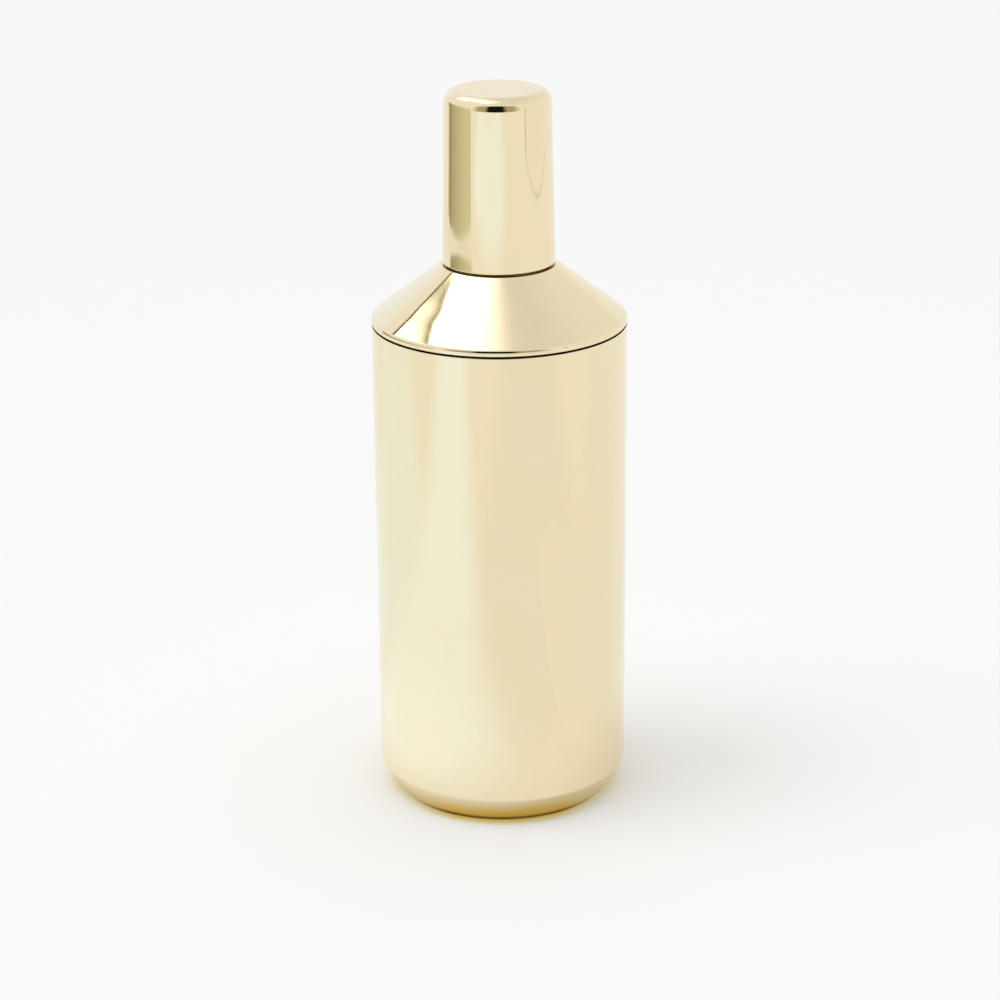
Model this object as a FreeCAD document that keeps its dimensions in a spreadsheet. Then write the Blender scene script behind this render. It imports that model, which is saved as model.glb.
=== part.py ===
"""Three-piece cocktail shaker: an insulated tumbler, a strainer lid and a cap that is also the measure.

Every piece but the neck seal is turned about Z from a closed outline. Lengths are in millimetres, +Z is up and
the origin is the centre of the foot, on the surface that the shaker stands on.
"""

import FreeCAD
import Part
import os
import re
import Sketcher

# The driving dimensions: alias, value, meaning.
SIZES = [
    # tumbler
    ("body_radius", 42.0, "outside of the tumbler wall and of the lid"),
    ("body_height", 163.5, "surface to rim"),
    ("chamfer_width", 6.0, "how far the foot stands in from the wall"),
    ("chamfer_height", 9.2, "height of the slanted foot"),
    ("chamfer_round", 1.2, "rounding where the wall turns into the slant"),
    ("foot_round", 0.5, "rounding of the edge that stands on the surface"),
    ("foot_lip", 4.5, "width of the ring that is turned in under the foot"),
    ("shell_wall", 0.8, "sheet of the outer shell"),
    ("insulation_gap", 1.8, "air between outer shell and inner cup"),
    ("cup_wall", 0.6, "sheet of the inner cup"),
    ("cup_lift", 5.5, "surface to the underside of the inner cup"),
    ("cup_corner", 9.0, "rounding at the foot of the inner cup"),
    ("flare_height", 5.0, "where the cup starts to widen below the rim"),
    ("flare_land", 1.5, "straight stretch at the rim, welded to the shell"),
    ("base_thickness", 0.8, "sheet of the base plate"),
    ("base_seat", 2.5, "how far the base plate lies on the foot ring"),
    ("base_margin", 5.0, "flat border of the base plate inside the foot ring"),
    ("base_rise", 0.8, "how far the middle of the base plate is pressed up"),
    # lid
    ("lid_gap", 0.7, "shadow gap between tumbler and lid"),
    ("band_height", 1.7, "upright edge of the lid below the cone"),
    ("shoulder_height", 17.7, "rise of the cone"),
    ("shoulder_wall", 0.9, "sheet of the shoulder"),
    ("shoulder_round", 1.4, "rounding between band and cone"),
    ("land_margin", 0.5, "flat ring that shows around the cap"),
    ("land_round", 0.4, "rounding between cone and flat ring"),
    ("collar_depth", 20.0, "how far the collar reaches into the tumbler"),
    ("collar_wall", 1.8, "wall of the collar"),
    ("collar_clearance", 0.35, "collar to inner cup"),
    ("collar_round", 0.6, "rounding of the collar's lower edges"),
    ("seal_drop", 7.0, "rim to the top of the seal groove"),
    ("seal_height", 6.0, "height of the seal groove"),
    ("seal_depth", 1.0, "depth of the seal groove"),
    ("seal_fit", 0.05, "play of a seal in its groove"),
    ("seal_sink", 0.2, "how far the seal's band stays below the collar's face"),
    ("seal_clearance", 0.1, "seal ribs to inner cup"),
    ("rib_width", 1.0, "foot of one seal rib"),
    ("rib_count", 3, "ribs around the seal"),
    # neck
    ("cap_gap", 0.7, "shadow gap between lid and cap"),
    ("neck_height", 26.0, "flat ring to the pouring lip"),
    ("neck_tail", 4.2, "how far the neck reaches below the flat ring"),
    ("neck_wall", 1.8, "wall of the neck"),
    ("neck_clearance", 0.3, "neck to the cap's bore"),
    ("neck_round", 0.6, "rounding of the pouring lip"),
    ("seat_width", 1.4, "step around the neck that the cap sits on"),
    ("ring_thickness", 1.1, "section of the neck seal"),
    ("ring_clearance", 0.05, "neck seal to the cap's bore"),
    ("ring_height", 15.0, "flat ring to the middle of the neck seal"),
    # strainer
    ("strainer_wall", 0.5, "sheet of the strainer"),
    ("strainer_depth", 10.0, "flange to the underside of the strainer"),
    ("strainer_corner", 1.5, "rounding at the foot of the strainer"),
    ("hole_diameter", 2.4, "one strainer hole"),
    ("hole_pitch", 3.6, "spacing of the rings of holes"),
    # cap
    ("cap_radius", 18.5, "outside of the cap at its open end"),
    ("cap_height", 56.7, "open end to the flat top"),
    ("cap_taper", 1.1, "radius lost from open end to top"),
    ("cap_wall", 0.7, "sheet of the cap's outer shell"),
    ("cap_round", 4.0, "rounding of the top edge"),
    ("cap_hem", 0.3, "rounding of the edge at the open end"),
    ("measure_wall", 0.6, "sheet of the measure inside the cap"),
    ("measure_fit", 0.1, "measure to outer shell where they are closest"),
    ("measure_corner", 3.4, "rounding at the bottom of the measure"),
    ("top_space", 0.6, "air between the measure and the flat top"),
]

# Sizes that follow from the driving ones. Each may use the sizes and what stands above it.
DERIVED = {
    # tumbler
    "foot_radius": "body_radius - chamfer_width",
    "foot_opening": "foot_radius - foot_lip",
    "chamfer_slant": "sqrt(chamfer_width ^ 2 + chamfer_height ^ 2)",
    "shell_bore": "body_radius - shell_wall",
    "cup_radius": "shell_bore - insulation_gap",
    "cup_bore": "cup_radius - cup_wall",
    "mouth_bore": "shell_bore - cup_wall",
    "flare_rise": "flare_height - flare_land",
    "flare_shift": "cup_wall * (sqrt(insulation_gap ^ 2 + flare_rise ^ 2) - flare_rise) / insulation_gap",
    "plate_radius": "foot_opening + base_seat",
    "panel_radius": "foot_opening - base_margin",
    "bend_shift": "base_thickness * (sqrt(2) - 1)",
    "base_top": "shell_wall + base_thickness",
    # lid
    "lid_bottom": "body_height + lid_gap",
    "band_top": "lid_bottom + band_height",
    "land_level": "band_top + shoulder_height",
    "land_radius": "cap_radius + land_margin",
    "cone_width": "body_radius - land_radius",
    "cone_slant": "sqrt(cone_width ^ 2 + shoulder_height ^ 2)",
    "band_bore": "body_radius - shoulder_wall",
    "collar_radius": "cup_bore - collar_clearance",
    "collar_bore": "collar_radius - collar_wall",
    "collar_bottom": "body_height - collar_depth",
    "collar_top": "band_top - shoulder_wall",
    "groove_top": "body_height - seal_drop",
    "groove_bottom": "groove_top - seal_height",
    "groove_radius": "collar_radius - seal_depth",
    "seal_bottom": "groove_bottom + seal_fit",
    "seal_top": "groove_top - seal_fit",
    "seal_bore": "groove_radius + seal_fit",
    "seal_band": "collar_radius - seal_sink",
    "seal_radius": "cup_bore - seal_clearance",
    "rib_span": "seal_height - 2 * seal_fit - rib_width",
    # cap and what stands in it
    "cap_bottom": "land_level + cap_gap",
    "cap_top": "cap_bottom + cap_height",
    "cap_top_radius": "cap_radius - cap_taper",
    "cap_bore": "cap_radius - cap_wall",
    "cap_top_bore": "cap_top_radius - cap_wall",
    "measure_radius": "cap_top_bore - measure_fit",
    "measure_bore": "measure_radius - measure_wall",
    "measure_top": "cap_top - cap_wall - top_space",
    "hem_bore": "cap_bore - cap_taper * measure_wall / (cap_height - cap_wall)",
    # neck and strainer
    "neck_radius": "measure_bore - neck_clearance",
    "neck_bore": "neck_radius - neck_wall",
    "neck_bottom": "land_level - neck_tail",
    "lip_level": "land_level + neck_height",
    "ring_middle": "land_level + ring_height",
    "ring_radius": "measure_bore - ring_clearance - ring_thickness / 2",
    "ring_groove": "ring_radius - ring_thickness / 2 - seal_fit",
    "ring_reach": "ring_thickness / 2 + seal_fit",
    "strainer_bottom": "neck_bottom - strainer_depth",
    "strainer_radius": "neck_bore + strainer_wall",
}

doc = FreeCAD.newDocument("shaker")
sheet = doc.addObject("Spreadsheet::Sheet", "Sizes")


def fill_sheet():
    """Writes one row per driving dimension: its name, its value as a plain number, and what it is."""
    for row, (alias, value, meaning) in enumerate(SIZES, start=1):
        sheet.set(f"A{row}", alias)
        sheet.set(f"B{row}", str(value))
        sheet.setAlias(f"B{row}", alias)
        sheet.set(f"C{row}", meaning)
    doc.recompute()


def bound(words):
    """The sheet's expression for a size: derived names are opened up until only aliases are left."""
    aliases = {alias for alias, _, _ in SIZES}

    def open_up(match):
        word = match.group(0)
        if word in DERIVED:
            return f"({bound(DERIVED[word])})"
        return f"Sizes.{word}" if word in aliases else word

    return re.sub(r"[a-z_]+", open_up, words)


def number(words):
    """The present value of a size, in millimetres."""
    return float(sheet.evalExpression(bound(words)))


def plane(body, role):
    """One of the body's own origin planes or axes, by its role."""
    return next(feature for feature in body.Origin.OriginFeatures if feature.Role == role)


def tie(sketch, kind, vertex, words):
    """Holds one coordinate of a vertex at a size measured from the origin."""
    index = sketch.addConstraint(Sketcher.Constraint(kind, -1, 1, *vertex, number(words)))
    sketch.setExpression(f"Constraints[{index}]", bound(words))


def outline(body, name, corners):
    """A closed outline on the body's XZ plane, each corner a (radius, height) pair of sizes."""
    sketch = body.newObject("Sketcher::SketchObject", name)
    sketch.AttachmentSupport = [(plane(body, "XZ_Plane"), "")]
    sketch.MapMode = "FlatFace"
    points = [FreeCAD.Vector(number(radius), number(height), 0) for radius, height in corners]
    count = len(points)
    for first in range(count):
        sketch.addGeometry(Part.LineSegment(points[first], points[(first + 1) % count]), False)
    for first in range(count):
        sketch.addConstraint(Sketcher.Constraint("Coincident", first, 2, (first + 1) % count, 1))
    for line, (radius, height) in enumerate(corners):
        if radius == "0":
            sketch.addConstraint(Sketcher.Constraint("PointOnObject", line, 1, -2))
        else:
            tie(sketch, "DistanceX", (line, 1), radius)
        if height == "0":
            sketch.addConstraint(Sketcher.Constraint("PointOnObject", line, 1, -1))
        else:
            tie(sketch, "DistanceY", (line, 1), height)
    return sketch


def turn(body, name, corners):
    """Turns an outline a full circle about Z and adds it to the body."""
    sketch = outline(body, name + "_outline", corners)
    feature = body.newObject("PartDesign::Revolution", name + "_turned")
    feature.Profile = sketch
    feature.ReferenceAxis = (sketch, ["V_Axis"])
    feature.Angle = 360
    body.Tip = feature
    doc.recompute()
    return feature


def turned_body(label, corners):
    """A sub-part turned from one outline."""
    body = doc.addObject("PartDesign::Body", label)
    body.Label = label
    turn(body, label, corners)
    return body


def ring_edges(shape, radius, height):
    """Names of the circular edges about Z at that radius and height."""
    near = 1e-4
    found = []
    for index, edge in enumerate(shape.Edges, start=1):
        curve = edge.Curve
        if isinstance(curve, Part.Circle) and abs(curve.Radius - radius) < near:
            if abs(curve.Center.z - height) < near:
                found.append(f"Edge{index}")
    return found


def round_edges(body, name, rounding, rings):
    """Rounds the body's circular edges at the given (radius, height) pairs of sizes."""
    base = body.Tip
    edges = [edge for ring in rings for edge in ring_edges(base.Shape, *map(number, ring))]
    if len(edges) != len(rings):
        raise ValueError(f"{name}: {len(edges)} edges found for {len(rings)} rings")
    fillet = body.newObject("PartDesign::Fillet", name)
    fillet.Base = (base, edges)
    fillet.Radius = number(rounding)
    fillet.setExpression("Radius", bound(rounding))
    body.Tip = fillet
    doc.recompute()


# ---------------------------------------------------------------- tumbler


def make_outer_shell():
    """Polished wall with its slanted foot, turned in below to carry the base plate."""
    body = turned_body(
        "outer_shell",
        [
            ("foot_opening", "0"),
            ("foot_radius", "0"),
            ("body_radius", "chamfer_height"),
            ("body_radius", "body_height"),
            ("shell_bore", "body_height"),
            (
                "shell_bore",
                "chamfer_height + shell_wall * (chamfer_slant - chamfer_height) / chamfer_width",
            ),
            (
                "foot_radius - shell_wall * (chamfer_slant - chamfer_width) / chamfer_height",
                "shell_wall",
            ),
            ("foot_opening", "shell_wall"),
        ],
    )
    round_edges(body, "chamfer_rounding", "chamfer_round", [("body_radius", "chamfer_height")])
    round_edges(body, "foot_rounding", "foot_round", [("foot_radius", "0")])
    return body


def make_inner_cup():
    """Drawn cup that holds the drink, widened at the mouth and welded to the shell there."""
    body = turned_body(
        "inner_cup",
        [
            ("0", "cup_lift"),
            ("cup_radius", "cup_lift"),
            ("cup_radius", "body_height - flare_height"),
            ("shell_bore", "body_height - flare_land"),
            ("shell_bore", "body_height"),
            ("mouth_bore", "body_height"),
            ("mouth_bore", "body_height - flare_land + flare_shift"),
            ("cup_bore", "body_height - flare_height + flare_shift"),
            ("cup_bore", "cup_lift + cup_wall"),
            ("0", "cup_lift + cup_wall"),
        ],
    )
    round_edges(body, "cup_outside_corner", "cup_corner", [("cup_radius", "cup_lift")])
    round_edges(
        body,
        "cup_inside_corner",
        "cup_corner - cup_wall",
        [("cup_bore", "cup_lift + cup_wall")],
    )
    return body


def make_base_plate():
    """Pressed plate that closes the foot from inside, raised in the middle so that it can't rock."""
    return turned_body(
        "base_plate",
        [
            ("0", "shell_wall + base_rise"),
            ("panel_radius", "shell_wall + base_rise"),
            ("panel_radius + base_rise", "shell_wall"),
            ("plate_radius", "shell_wall"),
            ("plate_radius", "base_top"),
            ("panel_radius + base_rise + bend_shift", "base_top"),
            ("panel_radius + bend_shift", "base_top + base_rise"),
            ("0", "base_top + base_rise"),
        ],
    )


# ---------------------------------------------------------------- lid


def make_shoulder_shell():
    """Polished cone with an upright band below and a flat ring above, where the neck comes through."""
    body = turned_body(
        "shoulder_shell",
        [
            ("body_radius", "lid_bottom"),
            ("body_radius", "band_top"),
            ("land_radius", "land_level"),
            ("neck_radius", "land_level"),
            ("neck_radius", "land_level - shoulder_wall"),
            (
                "land_radius - shoulder_wall * (cone_slant - cone_width) / shoulder_height",
                "land_level - shoulder_wall",
            ),
            (
                "band_bore",
                "band_top - shoulder_wall * (cone_slant - shoulder_height) / cone_width",
            ),
            ("band_bore", "lid_bottom"),
        ],
    )
    round_edges(body, "shoulder_rounding", "shoulder_round", [("body_radius", "band_top")])
    round_edges(body, "land_rounding", "land_round", [("land_radius", "land_level")])
    return body


def make_lid_collar():
    """Turned ring that plugs into the tumbler. Its flange sits on the rim and sets the shadow gap."""
    body = turned_body(
        "lid_collar",
        [
            ("collar_bore", "collar_bottom"),
            ("collar_radius", "collar_bottom"),
            ("collar_radius", "groove_bottom"),
            ("groove_radius", "groove_bottom"),
            ("groove_radius", "groove_top"),
            ("collar_radius", "groove_top"),
            ("collar_radius", "body_height"),
            ("band_bore", "body_height"),
            ("band_bore", "collar_top"),
            ("collar_bore", "collar_top"),
        ],
    )
    round_edges(
        body,
        "collar_rounding",
        "collar_round",
        [("collar_bore", "collar_bottom"), ("collar_radius", "collar_bottom")],
    )
    return body


def make_collar_seal():
    """Silicone band in the collar's groove, with ribs that grip the inner cup."""
    body = turned_body(
        "collar_seal",
        [
            ("seal_bore", "seal_bottom"),
            ("seal_band", "seal_bottom"),
            ("seal_band", "seal_top"),
            ("seal_bore", "seal_top"),
        ],
    )
    rib = turn(
        body,
        "seal_rib",
        [
            ("seal_bore", "seal_bottom"),
            ("seal_band", "seal_bottom"),
            ("seal_radius", "seal_bottom + rib_width / 2"),
            ("seal_band", "seal_bottom + rib_width"),
            ("seal_bore", "seal_bottom + rib_width"),
        ],
    )
    ribs = body.newObject("PartDesign::LinearPattern", "seal_ribs")
    ribs.Originals = [rib]
    ribs.Direction = (plane(body, "Z_Axis"), [""])
    ribs.Length = number("rib_span")
    ribs.setExpression("Length", bound("rib_span"))
    ribs.setExpression("Occurrences", bound("rib_count"))
    body.Tip = ribs
    return body


def make_pour_neck():
    """Turned neck with the step that carries the cap, a groove for its seal and a rounded lip."""
    body = turned_body(
        "pour_neck",
        [
            ("neck_bore", "neck_bottom"),
            ("neck_radius", "neck_bottom"),
            ("neck_radius", "land_level"),
            ("neck_radius + seat_width", "land_level"),
            ("neck_radius + seat_width", "cap_bottom"),
            ("neck_radius", "cap_bottom"),
            ("neck_radius", "ring_middle - ring_reach"),
            ("ring_groove", "ring_middle - ring_reach"),
            ("ring_groove", "ring_middle + ring_reach"),
            ("neck_radius", "ring_middle + ring_reach"),
            ("neck_radius", "lip_level"),
            ("neck_bore", "lip_level"),
        ],
    )
    round_edges(
        body,
        "lip_rounding",
        "neck_round",
        [("neck_radius", "lip_level"), ("neck_bore", "lip_level")],
    )
    return body


def make_neck_seal():
    """Silicone ring that holds the cap on the neck."""
    seal = doc.addObject("Part::Torus", "neck_seal")
    seal.Label = "neck_seal"
    seal.setExpression("Radius1", bound("ring_radius"))
    seal.setExpression("Radius2", bound("ring_thickness / 2"))
    seal.setExpression("Placement.Base.z", bound("ring_middle"))
    return seal


def punch_ring(body, ring, holes):
    """Punches one ring of strainer holes; ring 0 is the single hole in the middle."""
    sketch = body.newObject("Sketcher::SketchObject", f"hole_{ring}_outline")
    sketch.AttachmentSupport = [(plane(body, "XY_Plane"), "")]
    sketch.MapMode = "FlatFace"
    sketch.setExpression("AttachmentOffset.Base.z", bound("strainer_bottom"))
    middle = FreeCAD.Vector(ring * number("hole_pitch"), 0, 0)
    radius = number("hole_diameter / 2")
    circle = sketch.addGeometry(Part.Circle(middle, FreeCAD.Vector(0, 0, 1), radius), False)
    if ring == 0:
        sketch.addConstraint(Sketcher.Constraint("Coincident", circle, 3, -1, 1))
    else:
        sketch.addConstraint(Sketcher.Constraint("PointOnObject", circle, 3, -1))
        tie(sketch, "DistanceX", (circle, 3), f"{ring} * hole_pitch")
    size = sketch.addConstraint(Sketcher.Constraint("Radius", circle, radius))
    sketch.setExpression(f"Constraints[{size}]", bound("hole_diameter / 2"))
    pocket = body.newObject("PartDesign::Pocket", f"hole_{ring}")
    pocket.Profile = sketch
    pocket.Type = "ThroughAll"
    pocket.Midplane = True
    body.Tip = pocket
    doc.recompute()
    if ring == 0:
        return
    pattern = body.newObject("PartDesign::PolarPattern", f"holes_{ring}")
    pattern.Originals = [pocket]
    pattern.Axis = (plane(body, "Z_Axis"), [""])
    pattern.Angle = 360
    pattern.Occurrences = holes
    body.Tip = pattern
    doc.recompute()


def make_strainer_cup():
    """Drawn and punched cup, welded by its flange to the lower end of the neck."""
    body = turned_body(
        "strainer_cup",
        [
            ("0", "strainer_bottom"),
            ("strainer_radius", "strainer_bottom"),
            ("strainer_radius", "neck_bottom - strainer_wall"),
            ("neck_radius", "neck_bottom - strainer_wall"),
            ("neck_radius", "neck_bottom"),
            ("neck_bore", "neck_bottom"),
            ("neck_bore", "strainer_bottom + strainer_wall"),
            ("0", "strainer_bottom + strainer_wall"),
        ],
    )
    round_edges(
        body,
        "strainer_outside_corner",
        "strainer_corner",
        [("strainer_radius", "strainer_bottom")],
    )
    round_edges(
        body,
        "strainer_inside_corner",
        "strainer_corner - strainer_wall",
        [("neck_bore", "strainer_bottom + strainer_wall")],
    )
    holes_per_step = 6
    rings = int((number("neck_bore - strainer_corner - hole_diameter / 2")) / number("hole_pitch"))
    for ring in range(rings + 1):
        punch_ring(body, ring, holes_per_step * ring)
    return body


# ---------------------------------------------------------------- cap


def make_cap_shell():
    """Polished outer shell, a little wider at its open end than at its flat top."""
    body = turned_body(
        "cap_shell",
        [
            ("cap_bore", "cap_bottom"),
            ("cap_radius", "cap_bottom"),
            ("cap_top_radius", "cap_top"),
            ("0", "cap_top"),
            ("0", "cap_top - cap_wall"),
            ("cap_top_bore", "cap_top - cap_wall"),
        ],
    )
    round_edges(body, "cap_outside_corner", "cap_round", [("cap_top_radius", "cap_top")])
    round_edges(
        body,
        "cap_inside_corner",
        "cap_round - cap_wall",
        [("cap_top_bore", "cap_top - cap_wall")],
    )
    round_edges(body, "cap_hem_rounding", "cap_hem", [("cap_radius", "cap_bottom")])
    return body


def make_measure_cup():
    """Straight inner cup of the cap: it slides over the neck, and upside down it is the measure."""
    body = turned_body(
        "measure_cup",
        [
            ("measure_bore", "cap_bottom"),
            ("cap_bore", "cap_bottom"),
            ("hem_bore", "cap_bottom + measure_wall"),
            ("measure_radius", "cap_bottom + measure_wall"),
            ("measure_radius", "measure_top"),
            ("0", "measure_top"),
            ("0", "measure_top - measure_wall"),
            ("measure_bore", "measure_top - measure_wall"),
        ],
    )
    round_edges(
        body, "measure_outside_corner", "measure_corner", [("measure_radius", "measure_top")]
    )
    round_edges(
        body,
        "measure_inside_corner",
        "measure_corner - measure_wall",
        [("measure_bore", "measure_top - measure_wall")],
    )
    return body


def check(pieces):
    """Stops if any object of the document failed or a piece isn't a valid solid."""
    for item in doc.Objects:
        if "Invalid" in item.State or "Error" in item.State:
            raise RuntimeError(f"{item.Label} failed: {item.State}")
    for piece in pieces:
        shape = piece.Shape
        if shape.isNull() or not shape.isValid() or len(shape.Solids) != 1:
            raise RuntimeError(f"{piece.Label} is not one valid solid")


def main():
    fill_sheet()
    pieces = [
        make_outer_shell(),
        make_inner_cup(),
        make_base_plate(),
        make_shoulder_shell(),
        make_lid_collar(),
        make_collar_seal(),
        make_pour_neck(),
        make_neck_seal(),
        make_strainer_cup(),
        make_cap_shell(),
        make_measure_cup(),
    ]
    doc.recompute()
    check(pieces)
    os.makedirs("parts", exist_ok=True)
    for piece in pieces:
        piece.Shape.exportStep(f"parts/{piece.Label}.step")
        print(f"{piece.Label}: {piece.Shape.Volume:.1f} mm3")


main()
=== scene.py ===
# %% [markdown]
# # A polished cocktail shaker
# This notebook dresses a three-piece cocktail shaker: an insulated tumbler, a conical lid with a
# strainer below it, and a tall cap that is also the measure. The construction comes as a fixed frame of
# plain solids. Here every piece that the eye meets gets its final mesh and its finish. All lengths are
# in metres and +Z is up.

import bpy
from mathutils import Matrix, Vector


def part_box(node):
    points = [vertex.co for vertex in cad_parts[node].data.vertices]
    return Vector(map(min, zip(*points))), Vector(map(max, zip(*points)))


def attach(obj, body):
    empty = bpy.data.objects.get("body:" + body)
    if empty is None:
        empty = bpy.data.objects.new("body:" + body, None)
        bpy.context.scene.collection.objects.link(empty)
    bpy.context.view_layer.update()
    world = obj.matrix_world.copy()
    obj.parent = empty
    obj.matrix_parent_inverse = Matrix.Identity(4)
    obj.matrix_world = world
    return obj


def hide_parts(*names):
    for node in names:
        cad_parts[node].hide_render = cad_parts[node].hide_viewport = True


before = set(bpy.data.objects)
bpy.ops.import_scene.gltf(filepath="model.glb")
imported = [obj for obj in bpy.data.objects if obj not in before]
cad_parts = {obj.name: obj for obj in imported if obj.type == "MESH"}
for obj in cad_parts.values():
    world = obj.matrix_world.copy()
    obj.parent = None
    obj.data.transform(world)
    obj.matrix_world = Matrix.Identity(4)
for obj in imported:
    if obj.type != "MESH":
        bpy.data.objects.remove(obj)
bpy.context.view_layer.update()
print("solids:", sorted(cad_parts))

# %% [markdown]
# ## Working values
# Nearly every piece was turned or spun about one upright axis, so a piece is described by radii and
# heights. The outer radii and the levels are read off the solids of the frame. What a box can't tell is
# written here in millimetres: sheet thicknesses, tapers, the slanted foot, steps, clearances and
# roundings. Most repeat the construction's values, so a change there has to be made here as well.

# %% Radii and heights from the frame
import math
import bmesh
import bpy
from mathutils import Matrix, Vector

MM = 0.001


def low(node):
    """The lowest height of a solid."""
    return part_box(node)[0].z


def high(node):
    """The highest height of a solid."""
    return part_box(node)[1].z


def reach(node):
    """The largest radius of a solid."""
    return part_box(node)[1].x


wall_radius = reach("outer_shell")
rim_level = high("outer_shell")
lid_level = low("shoulder_shell")
land_level = high("shoulder_shell")
cap_level = low("cap_shell")
cap_radius = reach("cap_shell")
cap_top = high("cap_shell")
print(f"tumbler radius {wall_radius / MM:.1f} mm, rim at {rim_level / MM:.1f} mm")
print(f"cap's top at {cap_top / MM:.1f} mm")

# %% [markdown]
# ## Turning an outline
# A spun piece is one closed outline turned a full circle. Blender's Screw modifier could do it, but a
# mirror finish shows every flaw in the shading, so the outline is prepared first. Each rounding becomes
# a fine arc, and each straight run gets a ring close to both ends. Smooth shading then stays flat on the
# flats and bends only in the roundings. Corners that are meant to be crisp are marked sharp.

# %% Outline helpers
ARC_STEP = math.radians(5)
EDGE_RING = 0.12 * MM
SHORT_RUN = 6 * EDGE_RING
RUN_STEP = 8 * MM
TURNS = 256
ON_AXIS = 1e-7
SHARP_TURN = math.radians(28)


def rounded(corners):
    """Turns (radius, height, rounding) corners of a closed outline into points with fine arcs."""
    points = []
    count = len(corners)
    for index, (radius, height, rounding) in enumerate(corners):
        here = Vector((radius, height))
        if rounding == 0:
            points.append(here)
            continue
        before = (Vector(corners[index - 1][:2]) - here).normalized()
        after = (Vector(corners[(index + 1) % count][:2]) - here).normalized()
        half = before.angle(after) / 2
        inward = (before + after).normalized()
        middle = here + inward * (rounding / math.sin(half))
        start = here + before * (rounding / math.tan(half)) - middle
        end = here + after * (rounding / math.tan(half)) - middle
        sweep = start.angle_signed(end)
        steps = max(3, math.ceil(abs(sweep) / ARC_STEP))
        for step in range(steps + 1):
            turned = start.copy()
            turned.rotate(Matrix.Rotation(-sweep * step / steps, 2))
            points.append(middle + turned)
    return points


def with_rings(points):
    """Adds a ring near both ends of each long straight run, and evenly spaced rings along it."""
    dense = []
    count = len(points)
    for index, here in enumerate(points):
        there = points[(index + 1) % count]
        run = (there - here).length
        dense.append(here)
        on_axis = here.x == 0 and there.x == 0
        if on_axis or run < SHORT_RUN:
            continue
        along = (there - here) / run
        dense.append(here + along * EDGE_RING)
        inner = max(1, math.ceil(run / RUN_STEP))
        for step in range(1, inner):
            dense.append(here + along * (run * step / inner))
        dense.append(there - along * EDGE_RING)
    return dense


def make_ring(bm, point):
    """The vertices of one ring, or the single vertex of a point on the axis."""
    if point.x < ON_AXIS:
        return [bm.verts.new((0, 0, point.y))]
    angles = [2 * math.pi * turn / TURNS for turn in range(TURNS)]
    return [bm.verts.new((point.x * math.cos(angle), point.x * math.sin(angle), point.y)) for angle in angles]


def join_rings(bm, first, second):
    """Fills the strip between two rings with quads, or with triangles where one is a single vertex."""
    if len(first) == 1 and len(second) == 1:
        return
    for turn in range(TURNS):
        after = (turn + 1) % TURNS
        if len(first) == 1:
            bm.faces.new((first[0], second[turn], second[after]))
        elif len(second) == 1:
            bm.faces.new((first[turn], second[0], first[after]))
        else:
            bm.faces.new((first[turn], second[turn], second[after], first[after]))


def turned_mesh(name, corners):
    """A mesh made of one closed outline, turned a full circle about Z."""
    bm = bmesh.new()
    rings = [make_ring(bm, point) for point in with_rings(rounded(corners))]
    for first, second in zip(rings, rings[1:] + rings[:1]):
        join_rings(bm, first, second)
    bmesh.ops.recalc_face_normals(bm, faces=bm.faces)
    for face in bm.faces:
        face.smooth = True
    for edge in bm.edges:
        if len(edge.link_faces) == 2 and edge.calc_face_angle(0) > SHARP_TURN:
            edge.smooth = False
    mesh = bpy.data.meshes.new(name)
    bm.to_mesh(mesh)
    bm.free()
    return mesh


def piece(name, corners, body, replaced, material):
    """Turns an outline into a piece that rides on a body and stands for its solid."""
    mesh = turned_mesh(name, corners)
    made = bpy.data.objects.new(name, mesh)
    bpy.context.scene.collection.objects.link(made)
    made.data.materials.append(material)
    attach(made, body)
    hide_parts(replaced)
    print(f"{name}: {len(mesh.polygons)} faces, rides on {body}")


# %% [markdown]
# ## Effects that several finishes share
# Metal that looks real is never even. Five effects are built once as node groups and then placed in the
# finishes with their own values: the rings that a lathe or a spinning tool leaves, the hairlines that a
# cloth leaves, the cloudiness of hands and breath, the wear on edges, and painted shade in narrow gaps.
# Each group puts out masks or a height, never a shader.

# %% A small builder for node groups
def new_group(name, inputs, outputs):
    """An empty shader group with named sockets. Each input is (name, socket type, default)."""
    group = bpy.data.node_groups.new(name, "ShaderNodeTree")
    for label, kind, default in inputs:
        socket = group.interface.new_socket(label, in_out="INPUT", socket_type=kind)
        if default is not None:
            socket.default_value = default
    for label, kind in outputs:
        group.interface.new_socket(label, in_out="OUTPUT", socket_type=kind)
    return group, group.nodes.new("NodeGroupInput"), group.nodes.new("NodeGroupOutput")


def feed(tree, socket, value):
    """Gives an input a number, a plain colour or the output of another node."""
    if isinstance(value, tuple):
        socket.default_value = (*value, 1.0)
    elif isinstance(value, (int, float)):
        socket.default_value = value
    else:
        tree.links.new(value, socket)


def math_node(tree, operation, *values):
    """A Math node fed by numbers or by sockets."""
    node = tree.nodes.new("ShaderNodeMath")
    node.operation = operation
    for socket, value in zip(node.inputs, values):
        feed(tree, socket, value)
    return node.outputs[0]


def noise_node(tree, vector, scale, detail=2.0, roughness=0.5):
    """A Noise Texture's value at a vector. Scale and detail are numbers or sockets."""
    node = tree.nodes.new("ShaderNodeTexNoise")
    node.inputs["Roughness"].default_value = roughness
    feed(tree, node.inputs["Scale"], scale)
    feed(tree, node.inputs["Detail"], detail)
    tree.links.new(vector, node.inputs["Vector"])
    return node.outputs["Fac"]


def spread(tree, value, low_value, high_value):
    """Stretches the range from low_value to high_value to 0 to 1 and cuts off the rest."""
    node = tree.nodes.new("ShaderNodeMapRange")
    node.inputs["From Min"].default_value = low_value
    node.inputs["From Max"].default_value = high_value
    tree.links.new(value, node.inputs["Value"])
    return node.outputs["Result"]


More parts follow.
